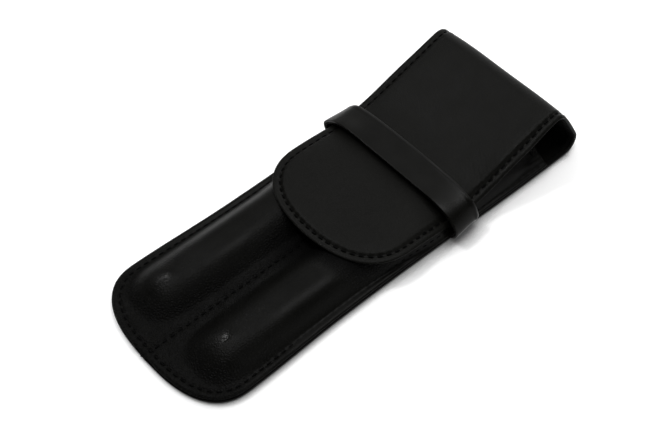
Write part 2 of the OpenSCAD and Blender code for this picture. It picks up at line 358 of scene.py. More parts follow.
SEAM_WIDE, SEAM_Y = body_rows(STITCH_MARGIN, MOUTH_Y - MOUTH_INSET)
SEAM_WIDE = SEAM_WIDE + STITCH_MARGIN - seam_margin(SEAM_Y)
BODY_SEAM = even_points(both_sides(SEAM_WIDE, SEAM_Y), STITCH_PITCH)
CENTRE_LINE = np.array([[0, STITCH_MARGIN + 1.2], [0, MOUTH_Y - MOUTH_INSET]])
CENTRE_SEAM = even_points(CENTRE_LINE, STITCH_PITCH)


def dents(x, y, seam, length=STITCH_LENGTH, width=0.75):
    """Depth from 0 to 1 of the hollows that the stitches pull into the leather.

    Over all stitches, the largest of bell(across/width) times 1.25 - (2 along/length)^2,
    the latter held between 0 and 1.
    """
    centres, along = seam
    depth = np.zeros(x.size)
    flat_x, flat_y = x.ravel(), y.ravel()
    for (cx, cy), (dx, dy) in zip(centres, along):
        near = np.nonzero((np.abs(flat_x - cx) < 3) & (np.abs(flat_y - cy) < 3))[0]
        rx, ry = flat_x[near] - cx, flat_y[near] - cy
        run, off = rx * dx + ry * dy, ry * dx - rx * dy
        dent = bell(off / width) * np.clip(1.25 - (2 * run / length) ** 2, 0, 1)
        depth[near] = np.maximum(depth[near], dent)
    return depth.reshape(x.shape)


# ---- finishes -------------------------------------------------------------------


WORN_GLOSS = 0.15
# Share of the colour left where the shade painted into creases and under the flap's tip is full.
PAINTED_SHADE_COLOUR = 0.12
FULL_CREASE = 0.55
PLAIN_RELIEF = 0.5


def new_material(name):
    """A node material: its nodes, links, shader and the piece's own coordinates."""
    mat = bpy.data.materials.new(name)
    mat.use_nodes = True
    nodes, links = mat.node_tree.nodes, mat.node_tree.links
    place = nodes.new("ShaderNodeTexCoord").outputs["Object"]
    return mat, nodes, links, nodes["Principled BSDF"], place


def field(nodes, name):
    """The value that a piece carries at its points under a name, 0 where it has none."""
    node = nodes.new("ShaderNodeAttribute")
    node.attribute_name = name
    return node.outputs["Fac"]


def set_range(node, low=0.0, high=1.0, to_low=0.0, to_high=1.0):
    """Sets the four ends of a Map Range node."""
    ends = {"From Min": low, "From Max": high, "To Min": to_low, "To Max": to_high}
    for socket, value in ends.items():
        node.inputs[socket].default_value = value


def two_tones(nodes, links, colour, dark, light, factor):
    """A mix from a colour made darker to the same colour made lighter."""
    tone = nodes.new("ShaderNodeMix")
    tone.data_type = "RGBA"
    tone.inputs["A"].default_value = (*[dark * c for c in colour], 1)
    tone.inputs["B"].default_value = (*[light * c for c in colour], 1)
    links.new(factor, tone.inputs["Factor"])
    return tone.outputs["Result"]


def leather(name, colour, rough, cell, grain, specular, crease_and_shade=0.0, sheen=0.0):
    """Grained leather: pebbles from the distance to Voronoi edges, pores, slow unevenness.

    cell is the pebbles' size and grain the depth of the relief, both in metres. Where the
    piece's own value for creases and shade is high the colour is darker, a painted shade,
    and if the argument of the same name is set the relief is also deeper and the surface
    rougher, by that argument. Where its "worn" value is high the surface is smoother.
    """
    mat, nodes, links, skin, place = new_material(name)

    pebble = nodes.new("ShaderNodeTexVoronoi")
    pebble.feature = "DISTANCE_TO_EDGE"
    pebble.inputs["Scale"].default_value = 1 / cell
    pebble.inputs["Randomness"].default_value = 1.0
    links.new(place, pebble.inputs["Vector"])
    top = nodes.new("ShaderNodeMapRange")
    top.interpolation_type = "SMOOTHSTEP"
    set_range(top, high=0.34)
    links.new(pebble.outputs["Distance"], top.inputs["Value"])

    pores = nodes.new("ShaderNodeTexNoise")
    pores.inputs["Scale"].default_value = 2.2 / cell
    pores.inputs["Detail"].default_value = 3.0
    links.new(place, pores.inputs["Vector"])
    slow = nodes.new("ShaderNodeTexNoise")
    slow.inputs["Scale"].default_value = 130.0
    slow.inputs["Detail"].default_value = 4.0
    slow.inputs["Roughness"].default_value = 0.55
    links.new(place, slow.inputs["Vector"])

    relief = nodes.new("ShaderNodeMix")
    relief.inputs["Factor"].default_value = 0.42
    links.new(top.outputs["Result"], relief.inputs["A"])
    links.new(pores.outputs["Fac"], relief.inputs["B"])
    bump = nodes.new("ShaderNodeBump")
    bump.inputs["Distance"].default_value = grain
    links.new(relief.outputs["Result"], bump.inputs["Height"])
    if crease_and_shade:
        amount = nodes.new("ShaderNodeMapRange")
        set_range(amount, high=FULL_CREASE, to_low=0.10)
        links.new(field(nodes, "crease_and_shade"), amount.inputs["Value"])
        links.new(amount.outputs["Result"], bump.inputs["Strength"])
    else:
        bump.inputs["Strength"].default_value = PLAIN_RELIEF
    links.new(bump.outputs["Normal"], skin.inputs["Normal"])

    pit = nodes.new("ShaderNodeMix")
    painted_shade = nodes.new("ShaderNodeMix")
    for node in (pit, painted_shade):
        node.data_type = "RGBA"
        node.blend_type = "MULTIPLY"
    pit.inputs["Factor"].default_value = 0.35
    # Painted shade: where the piece's value for creases and shade is 1, the colour is multiplied
    # down to a dark grey.
    painted_shade.inputs["B"].default_value = (PAINTED_SHADE_COLOUR, PAINTED_SHADE_COLOUR, PAINTED_SHADE_COLOUR, 1)
    links.new(two_tones(nodes, links, colour, 0.72, 1.28, slow.outputs["Fac"]), pit.inputs["A"])
    links.new(top.outputs["Result"], pit.inputs["B"])
    links.new(field(nodes, "crease_and_shade"), painted_shade.inputs["Factor"])
    links.new(pit.outputs["Result"], painted_shade.inputs["A"])
    links.new(painted_shade.outputs["Result"], skin.inputs["Base Color"])

    gloss = nodes.new("ShaderNodeMapRange")
    set_range(gloss, 0.3, 0.7, rough - 0.05, rough + 0.06)
    links.new(slow.outputs["Fac"], gloss.inputs["Value"])
    finish = gloss.outputs["Result"]
    for source, change in (("worn", -WORN_GLOSS), ("crease_and_shade", crease_and_shade)):
        if change:
            after = nodes.new("ShaderNodeMath")
            after.operation = "MULTIPLY_ADD"
            after.inputs[1].default_value = change
            links.new(field(nodes, source), after.inputs[0])
            links.new(finish, after.inputs[2])
            finish = after.outputs["Value"]
    links.new(finish, skin.inputs["Roughness"])
    skin.inputs["Specular IOR Level"].default_value = specular
    if sheen:
        skin.inputs["Sheen Weight"].default_value = sheen
        skin.inputs["Sheen Roughness"].default_value = 0.5
    return mat


def thread(name, colour):
    """Twisted waxed thread: slanting ridges of a wave over the piece, with a soft gloss."""
    mat, nodes, links, skin, place = new_material(name)
    twist = nodes.new("ShaderNodeTexWave")
    twist.bands_direction = "DIAGONAL"
    twist.inputs["Scale"].default_value = 900.0
    twist.inputs["Distortion"].default_value = 1.5
    links.new(place, twist.inputs["Vector"])
    bump = nodes.new("ShaderNodeBump")
    bump.inputs["Distance"].default_value = 0.00006
    bump.inputs["Strength"].default_value = 0.6
    links.new(twist.outputs["Fac"], bump.inputs["Height"])
    links.new(bump.outputs["Normal"], skin.inputs["Normal"])
    tones = two_tones(nodes, links, colour, 0.6, 1.5, twist.outputs["Fac"])
    links.new(tones, skin.inputs["Base Color"])
    skin.inputs["Roughness"].default_value = 0.55
    skin.inputs["Specular IOR Level"].default_value = 0.03
    return mat


# Colour, roughness, pebble size, depth of the relief and specular level of each leather.
FLAP_FINISH = leather(
    "flap_smooth_black", (0.0034, 0.0034, 0.0026), 0.44, 0.00065, 0.00012, 0.073
)
BODY_FINISH = leather(
    "body_moulded_black", (0.0030, 0.0030, 0.0024), 0.36, 0.00095, 0.00024, 0.066, crease_and_shade=0.36
)
BACK_FINISH = leather("back_black", (0.0034, 0.0034, 0.0027), 0.52, 0.00060, 0.00009, 0.08)
STRAP_FINISH = leather(
    "strap_polished_black", (0.0032, 0.0032, 0.0025), 0.33, 0.00045, 0.00003, 0.090
)
LINING_FINISH = leather(
    "lining_suede_black", (0.0040, 0.0038, 0.0034), 0.80, 0.00030, 0.00005, 0.04, sheen=0.01
)
THREAD_FINISH = thread("waxed_thread_black", (0.0012, 0.0012, 0.0012))


# ---- stitches -------------------------------------------------------------------


def stitches(name, centres, along, face, body, node):
    """A row of stitches, each a short thread that dives into the leather at both ends.

    Along each stitch a goes from -1 to 1 and b goes round it. A point is the centre +
    a * half length along + width/2 * (1 - a^6)^0.5 * (cos b sideways + 0.8 sin b up),
    raised by 0.04 mm and sinking by 0.32 a^4 mm, so that only the arch shows.
    """
    a = np.linspace(-1, 1, STITCH_ALONG)[None, :, None]
    b = np.linspace(0, 2 * math.pi, STITCH_ROUND + 1)[:-1][None, None, :]
    fat = STITCH_WIDTH / 2 * np.sqrt(np.maximum(1 - np.abs(a) ** 6, 0.0))
    side = np.cross(face, along)
    run = a * STITCH_LENGTH / 2
    up = 0.8 * fat * np.sin(b) - 0.32 * a**4 + 0.04
    points = (
        centres[:, None, None]
        + run[..., None] * along[:, None, None]
        + (fat * np.cos(b))[..., None] * side[:, None, None]
        + up[..., None] * face[:, None, None]
    )
    first = np.arange(len(centres))[:, None, None, None] * (STITCH_ALONG * STITCH_ROUND)
    faces = quads(STITCH_ALONG, STITCH_ROUND)[None] + first
    obj = new_mesh(name, points, faces, THREAD_FINISH, body, node)
    return obj


# ---- body -----------------------------------------------------------------------


def front_height(x, y):
    """Outer face of the moulded front.

    Each channel swells from the flange by rise * (1 - r^p)^q. r joins a, the distance
    from its crown line in shares of its half width, and b, the distance ahead of
    NOSE_END in shares of the nose's length, as (a^3 + b^3)^(1/3). p and q are 2.8 and
    1.8 on the side of the valley. On the outer side they go from 3 and 1.8 to 5 and 1.3
    between the flap's tip and the mouth, where the swell reaches nearly to the edge. A
    low shelf stands round it towards the mouth, a small round bump lifts the nose, the
    rim is padded, and the stitches dent it.
    """
    margin = body_margin(x, y)
    hidden = tucked(x, y)
    pad = bell((margin - 1.5) / 0.9) - bell((margin - seam_margin(y)) / 0.8)
    flange = FLANGE_TOP + 0.20 * (1 - 0.8 * hidden) * pad
    flange = flange - 0.40 * ease((1.0 - margin) / 1.0)
    pebbled = (0.12 * ripple(x, y, 9.0, 3) + 0.10 * ripple(x, y, 3.0, 5)) * bell(x / 7.0)
    flange = flange - 0.35 * bell(x / 0.9) + pebbled
    full = ease((y - 66.0) / 44.0) * (1 - 0.75 * ease((y - 143.0) / 15.0))
    shelf = 1.8 * ease((y - 140.0) / 16.0) * ease((margin - 1.4) / 2.6)
    swell = np.zeros(np.shape(x))
    for side in (-1, 1):
        aside = side * x - CHANNEL_X
        outer_side = aside > 0
        a = np.abs(aside) / np.where(outer_side, CHANNEL_OUT + 2.6 * full, CHANNEL_IN)
        b = np.maximum(NOSE_END - y, 0) / NOSE_LENGTH
        r = np.minimum((a**3 + b**3) ** (1 / 3), 1.0)
        p = np.where(outer_side, 3.0 + 2.0 * full, 2.8)
        q = np.where(outer_side, 1.8 - 0.5 * full, 1.8)
        swell = swell + (1 - r**p) ** q
        swell = swell + 0.085 * bell(np.hypot(aside, y - NOSE_END + 1.2) / 3.6)
    rise = RISE + 0.10 * ripple(x, y, 26.0, 7)
    height = flange + shelf * np.clip(1 - swell, 0, 1) + rise * swell
    pulled = 0.22 * (1 - 0.5 * hidden) * dents(x, y, BODY_SEAM)
    return height - pulled - 0.25 * dents(x, y, CENTRE_SEAM)


def front_marks(x, y, z):
    """Crease, with shade painted into it, and wear of the front, each from 0 to 1.

    Creased along the valley, low round the noses and, less, towards the bottom end away
    from the worn spots; where it is creased the colour is darkened as painted shade. The
    tip's shadow is painted into the leather and stays when the flap opens: full in the
    valley and on the right channel wherever the closed flap lies over them, and fading
    beyond its tip over 20 mm in the valley and 9 mm on the channel, by the distance from
    the tip's superellipse. Worn where a pen's end rubs, on the crown of each nose.
    """
    worn = bell(np.hypot((np.abs(x) - CHANNEL_X) / 2.6, (y - NOSE_SPOT_Y) / 3.6))
    low = ease((24.0 - y) / 12.0) * ease((CHANNEL_TOP - 2.0 - z) / 3.0)
    crease_and_shade = bell(x / 7.5) + 0.6 * low
    crease_and_shade = np.clip(crease_and_shade + 0.35 * ease((48.0 - y) / 16.0) * (1 - worn), 0, 1)
    # Painted shadow of the closed flap's tip, fixed to the leather.
    ahead = np.maximum(FLAP_TIP + TIP_HEIGHT - y, 0) / TIP_HEIGHT
    share = ((np.abs(x) / FLAP_HALF) ** TIP_POWER + ahead**TIP_POWER) ** (1 / TIP_POWER)
    beyond = TIP_HEIGHT * (share - 1)
    right = ease(1 - beyond / 9.0) * (x > 0) * ease((30.0 - x) / 7.0)
    painted_tip_shadow = np.clip(ease(1 - beyond / 20.0) * bell((x + 2.0) / 9.0) + right, 0, 1)
    return FULL_CREASE * crease_and_shade + (1 - FULL_CREASE * crease_and_shade) * painted_tip_shadow, worn


def front_pieces():
    """The moulded front and, against its inner face, the lining of the channels."""
    wide, y = body_rows(EDGE_INSET, MOUTH_Y - 0.2)
    x = wide[:, None] * np.linspace(-1, 1, FRONT_COLUMNS)[None]
    y = np.broadcast_to(y[:, None], x.shape)
    z = front_height(x, y)
    outer = np.stack([x, y, z], -1)
    face = normals(outer)
    face[0] = [0, 0, 1]
    crease_and_shade, worn = front_marks(x, y, z)
    # The crease values also paint shade and the flap tip's shadow into the colour of the front.
    front = new_mesh(
        "front_panel",
        ply(outer, face, FRONT_SKIN, stop="round"),
        ply_quads(x, round_ends=1),
        BODY_FINISH,
        "pouch",
        "front_leather",
        {"crease_and_shade": spread(crease_and_shade, stop="round"), "worn": spread(worn, stop="round")},
    )
    inner = outer - face * (FRONT_SKIN + 0.03)
    inner[:, :, 0] *= 0.998
    lining = new_mesh(
        "front_lining_panel",
        ply(inner, face, FRONT_LINING - 0.06, lip=0.1, stop="round"),
        ply_quads(x, round_ends=1),
        LINING_FINISH,
        "pouch",
        "front_lining",
    )


front_pieces()


def flat_panel(name, level, thickness, inset, facing, finish, node, relief=None):
    """A flat panel in the body's outline, facing up (1) or down (-1), with its relief."""
    wide, y = body_rows(inset, LENGTH - LOW_R, pitch=0.8)
    x = wide[:, None] * np.linspace(-1, 1, FLAT_COLUMNS)[None] * facing
    y = np.broadcast_to(y[:, None], x.shape)
    z = np.full(x.shape, level) - facing * (relief(x, y) if relief is not None else 0)
    outer = np.stack([x, y, z], -1)
    face = normals(outer)
    face[0] = [0, 0, facing]
    return new_mesh(
        name,
        ply(outer, face, thickness, lip=min(EDGE_LIP, inset + 0.02), stop="open"),
        ply_quads(x),
        finish,
        "pouch",
        node,
    )


def back_relief(x, y):
    """Depth below the back's outer face: a stitch groove round the edge and up the middle."""
    margin = body_margin(x, y)
    middle = bell(x / 0.7) * (y > STITCH_MARGIN)
    groove = 0.28 * bell((margin - seam_margin(y)) / 0.7) + 0.28 * middle
    edge = 0.25 * ease((0.9 - margin) / 0.9)
    return np.maximum(groove, edge)


back = flat_panel(
    "back_panel", 0.0, BACK_SKIN, EDGE_INSET, -1, BACK_FINISH, "back_leather", back_relief
)
back_lining = flat_panel(
    "back_lining_panel", FOLD_SKIN, LINING_SKIN, 0.3, 1, LINING_FINISH, "back_lining"
)


def flat_stitches(name, rows, body, node):
    """Stitches of several flat seams: each row is (seam, height function, facing)."""
    centres, runs, faces = [], [], []
    for (flat, along), height, facing in rows:
        centres.append(np.column_stack([flat, height(flat[:, 0], flat[:, 1])]))
        runs.append(np.column_stack([along, np.zeros(len(along))]))
        faces.append(np.tile([0.0, 0.0, facing], (len(flat), 1)))
    rows = (np.concatenate(arrays) for arrays in (centres, runs, faces))
    return stitches(name, *rows, body, node)


def on_front(x, y):
    """Height of a stitch on the front, sunk where the right-hand seam is pulled under."""
    return front_height(x, y) + 0.10 - 0.36 * tucked(x, y)


def on_back(x, y):
    """Height of a stitch in the groove of the back, the same everywhere."""
    return np.full(np.shape(x), 0.30)


def on_margin(x, y):
    """Height of a stitch on the back's lining above the mouth, the same everywhere."""
    return np.full(np.shape(x), FOLD_SKIN + 0.05)


def above_mouth(side):
    """The short seam at one side (-1 or 1) between the mouth and the fold."""
    y = np.linspace(MOUTH_Y + 1.0, MOUTH_Y + 10.6, 9)
    return even_points(np.stack([side * (side_half(y) - seam_margin(y)), y], -1), STITCH_PITCH)


ABOVE_MOUTH = [above_mouth(side) for side in (-1, 1)]
flat_stitches(
    "edge_stitches",
    [(BODY_SEAM, on_front, 1.0), (BODY_SEAM, on_back, -1.0)]
    + [(seam, on_margin, 1.0) for seam in ABOVE_MOUTH]
    + [(seam, on_back, -1.0) for seam in ABOVE_MOUTH],
    "pouch",
    "edge_seam_thread",
)
flat_stitches(
    "centre_stitches",
    [(CENTRE_SEAM, on_front, 1.0), (CENTRE_SEAM, on_back, -1.0)],
    "pouch",
    "centre_seam_thread",
)


def mouth_row():
    """Seam across the front at the mouth: even steps along its section, over both channels."""
    reach = side_half(MOUTH_Y) - 4.5
    x = np.linspace(-reach, reach, 800)
    y = np.full(x.shape, MOUTH_Y - 3.0)
    path = np.stack([x, y, front_height(x, y)], -1)
    centres, along = even_points(path, STITCH_PITCH)
    face = np.cross(along, np.array([0.0, 1.0, 0.0]))
    face *= np.sign(face[:, 2:])
    return centres, along, face


stitches("mouth_stitches", *mouth_row(), "pouch", "mouth_seam_thread")


# ---- fold and flap ----------------------------------------------------------------


def heading(angle):
    """Direction (y, z) along the section where it has turned by an angle."""
    return np.array([math.cos(angle), math.sin(angle)])


def outwards(angle):
    """Direction (y, z) out of the section where it has turned by an angle."""
    return np.array([math.sin(angle), -math.cos(angle)])


LOW_CENTRE = np.array([LENGTH - LOW_R, LOW_R])
LEAN_RUN = (FOLD_HEIGHT - LOW_R - TOP_R + (LOW_R - TOP_R) * math.cos(LEAN)) / math.sin(LEAN)
TOP_CENTRE = LOW_CENTRE + LEAN_RUN * heading(LEAN) + (LOW_R - TOP_R) * outwards(LEAN)
CREST_END = math.pi + FLAP_SLOPE
SLOPE_START = TOP_CENTRE + TOP_R * outwards(CREST_END)
BEND_TOP = FLAP_TOP + BEND_R * (1 - math.cos(FLAP_SLOPE))
BEND_Y = SLOPE_START[0] - (SLOPE_START[1] - BEND_TOP) / math.tan(FLAP_SLOPE)
BEND_CENTRE = np.array([BEND_Y - BEND_R * math.sin(FLAP_SLOPE), FLAP_TOP + BEND_R])

LOW_TURN = LOW_R * LEAN
TOP_TURN = TOP_R * (CREST_END - LEAN)
SLOPE_RUN = np.linalg.norm(SLOPE_START - [BEND_Y, BEND_TOP])
BEND_RUN = BEND_R * FLAP_SLOPE
MARKS = np.cumsum([0, LOW_TURN, LEAN_RUN, TOP_TURN, SLOPE_RUN, BEND_RUN])


def side_view(s):
    """Point (y, z) and outward direction of the fold's outer face, s mm along it.

    In turn: an arc of LOW_R off the table, a straight lean, an arc of TOP_R over the
    crest, a straight slope, a wide hollow arc of BEND_R, and the flat up to the tip.
    """
    s = np.asarray(s, dtype=float)[..., None]

    def arc(centre, radius, angle, sign=1.0):
        out = np.concatenate([np.sin(angle), -np.cos(angle)], -1)
        return centre + radius * out, sign * out

    low = arc(LOW_CENTRE, LOW_R, s / LOW_R)
    lean = LOW_CENTRE + LOW_R * outwards(LEAN) + (s - MARKS[1]) * heading(LEAN)
    lean_out = outwards(LEAN) + 0 * s
    crest = arc(TOP_CENTRE, TOP_R, LEAN + (s - MARKS[2]) / TOP_R)
    slope = SLOPE_START + (s - MARKS[3]) * heading(CREST_END)
    slope_out = outwards(CREST_END) + 0 * s
    bend = arc(BEND_CENTRE, BEND_R, FLAP_SLOPE - (s - MARKS[4]) / BEND_R, -1.0)
    flat = np.array([BEND_CENTRE[0], FLAP_TOP]) + (s - MARKS[5]) * np.array([-1.0, 0.0])
    flat_out = np.array([0.0, 1.0]) + 0 * s
    where = [s < MARKS[1], s < MARKS[2], s < MARKS[3], s < MARKS[4], s < MARKS[5]]
    point = np.select(where, [low[0], lean, crest[0], slope, bend[0]], flat)
    out = np.select(where, [low[1], lean_out, crest[1], slope_out, bend[1]], flat_out)
    return point, out


def cover_half(s):
    """Half width of the cover: tapers evenly with height up the fold, then the flap's."""
    point, _ = side_view(s)
    root = side_half(LENGTH - LOW_R)
    taper = root + (FLAP_HALF - root) * np.clip(point[..., 1] / FOLD_HEIGHT, 0, 1)
    wide = np.where(s < MARKS[3], taper, FLAP_HALF)
    left = np.clip((FLAP_TIP + TIP_HEIGHT - point[..., 0]) / TIP_HEIGHT, 0, 1)
    return np.where(s > MARKS[4], FLAP_HALF * (1 - left**TIP_POWER) ** (1 / TIP_POWER), wide)


def cover_lift(x, s, y):
    """How far the cover's outer face stands off its plain section, in mm along its normal.

    The sides sink towards the edges, most under the strap and on the right side towards
    the fold, the middle dips a little towards the tip, the face rolls down near its edge,
    the crest's corners sink, and the face rolls gently. The seam's groove and padded rim
    are in cover_relief and the slantwise creases in slant_creases.
    """
    flatness = ease((s - MARKS[3]) / 14.0)
    share = np.abs(x) / FLAP_HALF
    strap = bell((y - STRAP_START - STRAP_WIDTH / 2) / 15.0)
    slack = np.where(x > 0, 1.0, 0.0) * ease((y - 84.0) / 20.0)
    droop = (0.6 + 1.5 * strap + (0.9 + 0.9 * strap) * slack) * share**3.4
    valley = 0.35 * bell(x / 9.0) * ease((STRAP_START - y + 10) / 18.0)
    margin = np.where(s > MARKS[4], flap_margin(x, y), FLAP_HALF - np.abs(x))
    roll = 0.030 * np.clip(7.5 - margin, 0, 4.7) ** 2
    crest = 1.3 * bell((s - MARKS[3]) / 9.0) * share**6
    lift = -flatness * (droop + valley + roll) - crest
    return lift + 0.13 * ripple(x, s, 30.0, 11) * ease((s - 4.0) / 10.0)


def cover_relief(margin):
    """Groove of the stitch line and the padded rim outside it."""
    pad = 0.16 * bell((margin - 1.5) / 0.75) + 0.10 * bell((margin - 4.2) / 1.0)
    return pad - 0.26 * bell((margin - STITCH_MARGIN) / 0.7) - 0.25 * ease((0.8 - margin) / 0.8)


def slant_creases(x, s, y):
    """Fine wrinkles running slantwise across the right side beyond the strap.

    A wave of 1.6 mm across their run, its phase and depth wandering by two slow ripples.
    """
    from_x, from_y = x - 26.0, y - 134.0
    along = -from_x * 0.75 + from_y * 0.66
    across = from_x * 0.66 + from_y * 0.75
    zone = bell(across / 11.0) * bell(along / 7.5)
    wave = np.sin(across * 2 * math.pi / 1.6 + 2.6 * ripple(x, y, 11.0, 17))
    deep = np.clip(0.6 + 0.7 * ripple(x, y, 5.0, 19), 0, 1.4)
    return 0.11 * zone * wave * deep * ease((s - MARKS[3]) / 10.0)


def cover_margin(x, s, y):
    """Distance inside the cover's edge: the flap's outline beyond the slope, else the side."""
    plan = flap_margin(x, y)
    return np.where(s > MARKS[4], plan, cover_half(s) - np.abs(x))


def tip_rows(inset, start):
    """Places along the cover from start to the tip, in rows that close the round tip."""
    _, y = end_rows(FLAP_HALF, FLAP_TIP, TIP_HEIGHT, TIP_POWER, inset)
    tip = MARKS[5] + BEND_CENTRE[0] - y[::-1]
    body = np.arange(start, tip[0] - 0.2, 0.4)
    return np.concatenate([body, tip])


def tip_half(s, inset):
    """Half width at s of the cover set in by a margin, with the tip's superellipse drawn in."""
    y = side_view(s)[0][..., 0]
    left = np.clip((FLAP_TIP + TIP_HEIGHT - y) / (TIP_HEIGHT - inset), 0, 1)
    tip = (FLAP_HALF - inset) * (1 - left**TIP_POWER) ** (1 / TIP_POWER)
    return np.where(s > MARKS[4], tip, cover_half(s) - inset)


def seam_of_cover():
    """Stitch line of the whole cover in (x, s): up one side, round the tip and back."""
    s = tip_rows(STITCH_MARGIN, 1.5)
    wide = tip_half(s, STITCH_MARGIN)
    wide[-1] = 0.0
    right = np.stack([wide, s], -1)
    left = right[::-1] * [-1, 1]
    return even_points(np.concatenate([right, left[1:]]), STITCH_PITCH)


COVER_SEAM = seam_of_cover()


def cover_outer(s, inset):
    """Grid and normals of the cover's outer face, with the tip closing to a point."""
    point, out = side_view(s)
    wide = tip_half(s, inset)
    if s[-1] > MARKS[5]:
        wide[-1] = 0.0
    x = wide[:, None] * np.linspace(1, -1, COVER_COLUMNS)[None]
    ss = np.broadcast_to(s[:, None], x.shape)
    y = np.broadcast_to(point[:, :1], x.shape)
    lift = cover_lift(x, ss, y) + cover_relief(cover_margin(x, ss, y)) + slant_creases(x, ss, y)
    lift = lift - 0.20 * dents(x, ss, COVER_SEAM)
    section = point[:, None] + lift[..., None] * out[:, None]
    grid = np.concatenate([x[..., None], section], -1)
    face = -normals(grid)
    face *= np.sign(np.sum(face[..., 1:] * out[:, None], -1, keepdims=True))
    face[-1] = np.where(s[-1] > MARKS[5], [0, 0, 1], face[-1])
    return grid, face


def rubbed_side(grid, s):
    """Wear from 0 up along the right side: the rim and a line inside the seam, most at the fold."""
    x, y = grid[..., 0], grid[..., 1]
    margin = cover_margin(x, np.broadcast_to(s[:, None], x.shape), y)
    line = 0.9 * bell((margin - 4.3) / 1.2) + 0.9 * bell((margin - 1.2) / 0.8)
    return line * ease(x / 12.0) * ease((y - 80.0) / 75.0)


def cover_piece(tag, s, body, stop, leather_node, lining_node):
    """One stretch of the cover: its outer leather, and the lining against its inner face."""
    grid, face = cover_outer(s, EDGE_INSET)
    faces = ply_quads(grid)[..., ::-1]
    outer = new_mesh(
        f"{tag}_outer",
        ply(grid, face, BACK_SKIN, stop=stop, start="open"),
        faces,
        FLAP_FINISH,
        body,
        leather_node,
        {"worn": spread(rubbed_side(grid, s), stop=stop)},
    )
    grid, face = cover_outer(s, 0.25)
    inner = grid - face * (BACK_SKIN + 0.02)
    lining = new_mesh(
        f"{tag}_inner",
        ply(inner, face, LINING_SKIN - 0.02, lip=0.2, stop=stop, start="open"),
        faces,
        LINING_FINISH,
        body,
        lining_node,
    )


def along_turn(angle):
    """Place along the cover where the section has turned by an angle."""
    if angle <= LEAN:
        return angle * LOW_R
    return MARKS[2] + (angle - LEAN) * TOP_R


def edge_point(s):
    """A point of the cover's middle line at s, for the ends of a bend."""
    (y, z), _ = side_view(s)
    return (0.0, y, z)


# The cover is cut between the hinges, and each stretch is listed with the bodies on either side of
# it and the two ends of its bend.
JOIN = MARKS[3] + 8.0
CUTS = [
    0.0,
    along_turn(HINGE_FIRST + HINGE_STEP / 2),
    (MARKS[1] + MARKS[2]) / 2,
    along_turn(HINGE_FIRST + 2.5 * HINGE_STEP),
    along_turn(HINGE_FIRST + 3.5 * HINGE_STEP),
]
BODIES = ["pouch", "fold_lower", "fold_middle", "fold_upper", "flap"]
STRETCHES = []
for k, part in enumerate(["lower", "middle", "upper", None]):
    bend = (BODIES[k], BODIES[k + 1], edge_point(CUTS[k]), edge_point(CUTS[k + 1]))
    STRETCHES.append((f"fold_{'abcd'[k]}", CUTS[k], CUTS[k + 1] if part else JOIN, bend, part))


def node_of(kind, part):
    """Name of the solid that a stretch of the fold stands for; the last has none."""
    return f"fold_{kind}_{part}" if part else None


def strip_rows(start, stop, pitch=0.25):
    """Places from start to stop, both included, about a pitch apart."""
    return np.linspace(start, stop, max(int(round((stop - start) / pitch)), 2) + 1)


for tag, first, last, bend, part in STRETCHES:
    rows = strip_rows(first, last)
    cover_piece(tag, rows, bend, "open", node_of("leather", part), node_of("lining", part))
cover_piece("flap", tip_rows(EDGE_INSET, JOIN), "flap", "point", "flap_leather", "flap_lining")


def cover_stitches(chosen, inside):
    """Stitches of the cover whose place along it is chosen, on its outer or inner face."""
    flat, along = COVER_SEAM[0][chosen], COVER_SEAM[1][chosen]
    x, s = flat[:, 0], flat[:, 1]
    point, out = side_view(s)
    lift = cover_lift(x, s, point[:, 0]) - 0.28
    depth = lift - FOLD_SKIN + 0.1 if inside else lift
    centres = np.column_stack([x, point + depth[:, None] * out])
    tangent = np.column_stack([np.zeros(len(s)), -out[:, 1], out[:, 0]])
    run = along[:, :1] * [1.0, 0, 0] + along[:, 1:] * tangent
    face = np.column_stack([np.zeros(len(s)), out]) * (-1 if inside else 1)
    return centres, run, face


def cover_thread(name, chosen, body, node):
    """Both faces' stitches of a stretch of the cover, as one piece."""
    parts = [cover_stitches(chosen, inside) for inside in (False, True)]
    rows = (np.concatenate(arrays) for arrays in zip(*parts))
    return stitches(name, *rows, body, node)


seam_s = COVER_SEAM[0][:, 1]
for tag, first, last, bend, part in STRETCHES:
    chosen = (seam_s >= first) & (seam_s < last)
    cover_thread(f"{tag}_stitches", chosen, bend, node_of("thread", part))
cover_thread("flap_stitches", seam_s >= JOIN, "flap", "flap_seam_thread")


# ---- strap ------------------------------------------------------------------------


def smooth_path(points, count):
    """Catmull-Rom curve through a few points, count places in all, evenly spread."""
    p = np.asarray(points, dtype=float)
    p = np.concatenate([[2 * p[0] - p[1]], p, [2 * p[-1] - p[-2]]])
    t = np.linspace(0, 1, 40, endpoint=False)[:, None]
    parts = []
    for a, b, c, d in zip(p[:-3], p[1:-2], p[2:-1], p[3:]):
        squared = (2 * a - 5 * b + 4 * c - d) * t**2
        cubed = (3 * b - a - 3 * c + d) * t**3
        parts.append(0.5 * (2 * b + (c - a) * t + squared + cubed))
    dense = np.concatenate(parts + [p[-2:-1]])
    run = np.concatenate([[0], np.cumsum(np.linalg.norm(np.diff(dense, axis=0), axis=1))])
    s = np.linspace(0, run[-1], count)
    return np.stack([np.interp(s, run, dense[:, k]) for k in range(2)], -1)


STRAP_TOP = FLAP_TOP + 0.4 + 2 * STRAP_PLY
STRAP_OUT = side_half(STRAP_START + STRAP_WIDTH / 2) + 0.45 + 2 * STRAP_PLY
STRAP_SIDE = [
    (0.0, STRAP_TOP + 0.15),
    (12.0, STRAP_TOP - 0.05),
    (22.0, STRAP_TOP - 0.6),
    (28.5, STRAP_TOP - 1.9),
    (32.6, STRAP_TOP - 4.2),
    (STRAP_OUT, STRAP_TOP - 6.6),
    (STRAP_OUT - 0.3, STRAP_TOP - 8.6),
    (STRAP_OUT - 1.6, 2.15),
    (STRAP_OUT - 4.0, 1.75),
]


